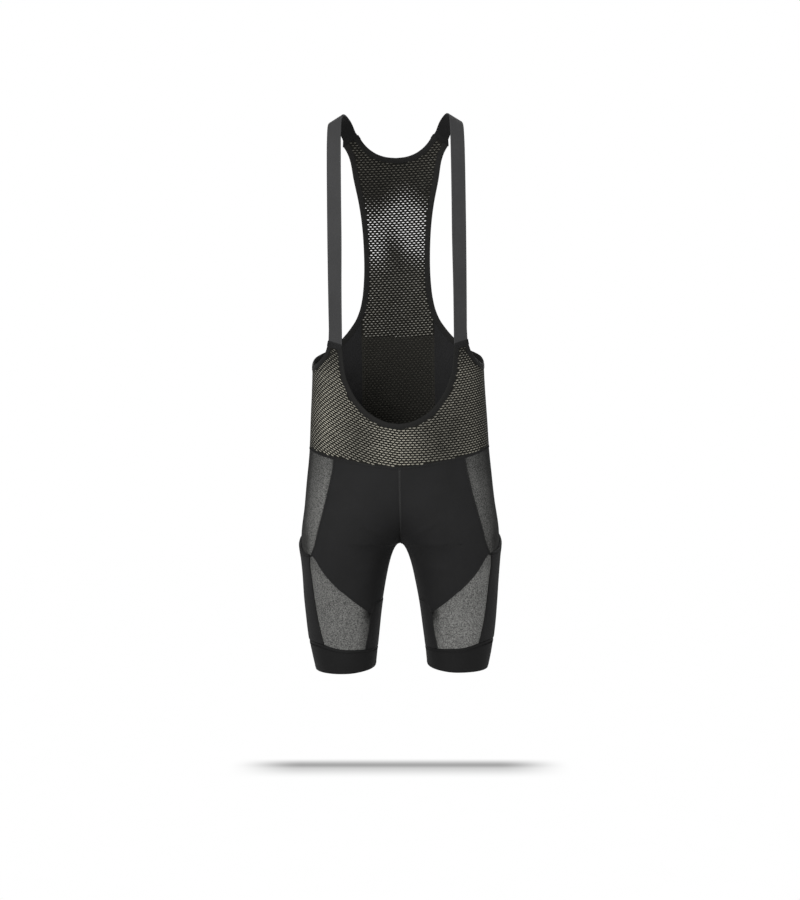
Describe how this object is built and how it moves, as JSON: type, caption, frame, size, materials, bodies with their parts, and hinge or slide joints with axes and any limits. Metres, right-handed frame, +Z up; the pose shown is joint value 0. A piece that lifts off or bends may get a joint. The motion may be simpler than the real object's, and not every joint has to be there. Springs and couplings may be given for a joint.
{
  "type": "cycling bib shorts",
  "caption": "Cycling bib shorts in black stretch cloth with net bib, sheer side and thigh panels, thigh pockets and grey braces, filled out as worn.",
  "frame": {"origin": "midway between the tops of the two braces, where the wearer's shoulders hold the garment", "axes": "+Z up, -Y out of the front of the garment, +X towards the right of the garment as seen from the front"},
  "size_m": [0.3364, 0.222, 0.917],
  "materials": {
    "stretch_cloth": "matt",
    "net": "matt",
    "sheer_mesh": "matt",
    "binding": "matt",
    "elastic": "matt",
    "gripper": "matt"
  },
  "bodies": {
    "root": {"armhole_binding_left": "binding", "armhole_binding_right": "binding", "back_neck_binding": "binding", "back_net": "net", "front_neck_binding": "binding", "front_net": "net", "front_panel_left": "stretch_cloth", "front_panel_right": "stretch_cloth", "hem_left": "gripper", "hem_right": "gripper", "inner_thigh_left": "stretch_cloth", "inner_thigh_right": "stretch_cloth", "outer_thigh_left": "stretch_cloth", "outer_thigh_right": "stretch_cloth", "pocket_binding_left": "binding", "pocket_binding_right": "binding", "rear_pocket": "stretch_cloth", "seat_left": "stretch_cloth", "seat_right": "stretch_cloth", "side_back_left": "stretch_cloth", "side_back_right": "stretch_cloth", "side_mesh_left": "sheer_mesh", "side_mesh_right": "sheer_mesh", "strap_left": "elastic", "strap_right": "elastic", "thigh_mesh_left": "sheer_mesh", "thigh_mesh_right": "sheer_mesh", "thigh_pocket_left": "stretch_cloth", "thigh_pocket_right": "stretch_cloth"}
  },
  "joints": []
}
